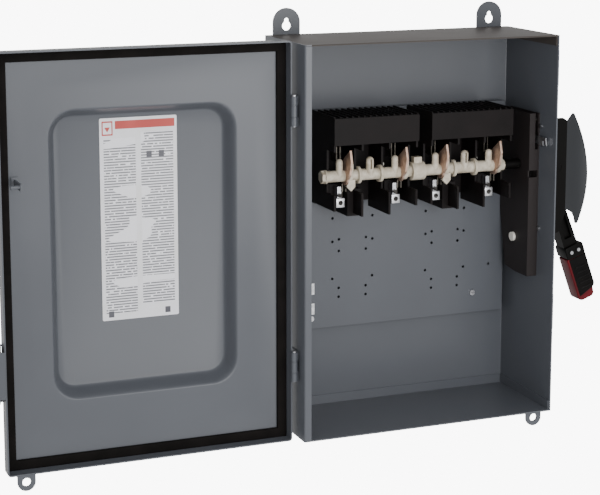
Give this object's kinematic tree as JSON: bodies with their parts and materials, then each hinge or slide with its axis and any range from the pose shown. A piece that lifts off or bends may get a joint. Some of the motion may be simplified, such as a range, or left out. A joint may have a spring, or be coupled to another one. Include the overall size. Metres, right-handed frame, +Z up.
{
  "type": "safety disconnect switch",
  "caption": "Grey steel wall enclosure with its door open on a bladed multi-pole disconnect switch, worked by a side handle.",
  "frame": {"origin": "middle of the enclosure's rear mounting face, which lies against the wall", "axes": "+X to the right, towards the handle; +Y into the wall; +Z up"},
  "size_m": [0.9, 0.15, 0.6138],
  "materials": {
    "grey_enamel": "satin grey baked enamel",
    "guard_enamel": "satin dark grey enamel",
    "black_enamel": "semi-gloss black enamel",
    "zinc_steel": "zinc-plated steel",
    "bare_steel": "oiled steel",
    "black_moulding": "black thermoset moulding",
    "cream_moulding": "cream thermoset moulding",
    "white_nylon": "natural nylon",
    "tin_plate": "tin-plated aluminium",
    "tin_copper": "tin-plated copper",
    "copper": "bare copper",
    "gasket_foam": "black neoprene foam",
    "label_film": "printed polyester label",
    "black_grip": "black nylon grip",
    "maroon_grip": "maroon nylon insert"
  },
  "bodies": {
    "enclosure": {"enclosure_wrapper": "grey_enamel", "top_end_wall": "grey_enamel", "bottom_end_wall": "grey_enamel", "mounting_lugs": "grey_enamel", "padlock_loop": "grey_enamel", "box_hinge_leaves": "grey_enamel", "hinge_pins": "zinc_steel", "latch_clips": "grey_enamel", "mounting_pan": "grey_enamel", "pan_screws": "zinc_steel", "ground_lugs": "tin_plate", "ground_screws": "zinc_steel", "switch_base_left": "black_moulding", "switch_base_right": "black_moulding", "line_shields": "black_moulding", "base_screws": "zinc_steel", "terminal_screws": "bare_steel", "base_screw_caps": "white_nylon", "load_lugs": "tin_plate", "load_straps": "tin_copper", "line_lugs": "tin_plate", "line_jaws": "tin_copper", "mechanism_side_plate": "black_enamel", "mechanism_base_plate": "black_enamel", "mechanism_spacers": "bare_steel", "anchor_roller": "white_nylon", "handle_housing": "black_enamel", "handle_guard": "guard_enamel", "handle_pivot_pin": "black_enamel", "housing_screws": "zinc_steel"},
    "door": {"door_shell": "grey_enamel", "door_hinge_leaves": "grey_enamel", "door_gasket": "gasket_foam", "door_label": "label_film", "interlock_catch": "grey_enamel", "door_padlock_tab": "grey_enamel", "latch_brackets": "grey_enamel"},
    "latch_upper": {"latch_lever_upper": "grey_enamel"},
    "latch_lower": {"latch_lever_lower": "grey_enamel"},
    "handle": {"handle_arm": "black_enamel", "handle_collar": "black_grip", "handle_grip": "black_grip", "grip_insert": "maroon_grip", "collar_screws": "zinc_steel"},
    "slide": {"drive_slide": "bare_steel"},
    "rotor": {"crossbar_left": "cream_moulding", "crossbar_right": "cream_moulding", "crossbar_coupling": "cream_moulding", "crossbar_end_bolt": "cream_moulding", "contact_blades": "copper", "drive_shaft": "black_enamel", "rotor_driver": "bare_steel"},
    "spring": {"spring_guide": "zinc_steel", "toggle_spring": "zinc_steel"},
    "interlock": {"interlock_lever": "zinc_steel"}
  },
  "joints": [
    {"name": "door_hinge", "type": "hinge", "parent": "enclosure", "child": "door", "pos_m": [-0.197, -0.13, 0], "axis": [0, 0, 1], "range_deg": [0, 180]},
    {"name": "latch_upper_turn", "type": "hinge", "parent": "door", "child": "latch_upper", "pos_m": [-0.5926, -0.105, 0.216], "axis": [0, 0, 1], "range_deg": [0, 14]},
    {"name": "latch_lower_turn", "type": "hinge", "parent": "door", "child": "latch_lower", "pos_m": [-0.5926, -0.105, -0.14], "axis": [0, 0, 1], "range_deg": [0, 14]},
    {"name": "handle_swing", "type": "hinge", "parent": "enclosure", "child": "handle", "pos_m": [0.21, -0.074, 0.079], "axis": [0, -1, 0], "range_deg": [0, 140]},
    {"name": "slide_drop", "type": "slide", "parent": "enclosure", "child": "slide", "axis": [0, 0, -1], "range_m": [0, 0.0283]},
    {"name": "rotor_turn", "type": "hinge", "parent": "enclosure", "child": "rotor", "pos_m": [0, -0.074, 0.079], "axis": [-1, 0, 0], "range_deg": [0, 76.1]},
    {"name": "spring_swing", "type": "hinge", "parent": "enclosure", "child": "spring", "pos_m": [0.1812, -0.063, -0.03], "axis": [1, 0, 0], "range_deg": [0, 15.1]},
    {"name": "interlock_drop", "type": "hinge", "parent": "enclosure", "child": "interlock", "pos_m": [0.1834, -0.088, 0.118], "axis": [1, 0, 0], "range_deg": [0, 14], "stiffness_Nm_per_rad": 0.05, "springref_deg": -17.19}
  ],
  "couplings": [
    {"joint": "slide_drop", "follows": "handle_swing", "m_per_rad": 0.011541},
    {"joint": "rotor_turn", "follows": "handle_swing", "ratio": 0.54286},
    {"joint": "spring_swing", "follows": "handle_swing", "ratio": 0.10714}
  ]
}
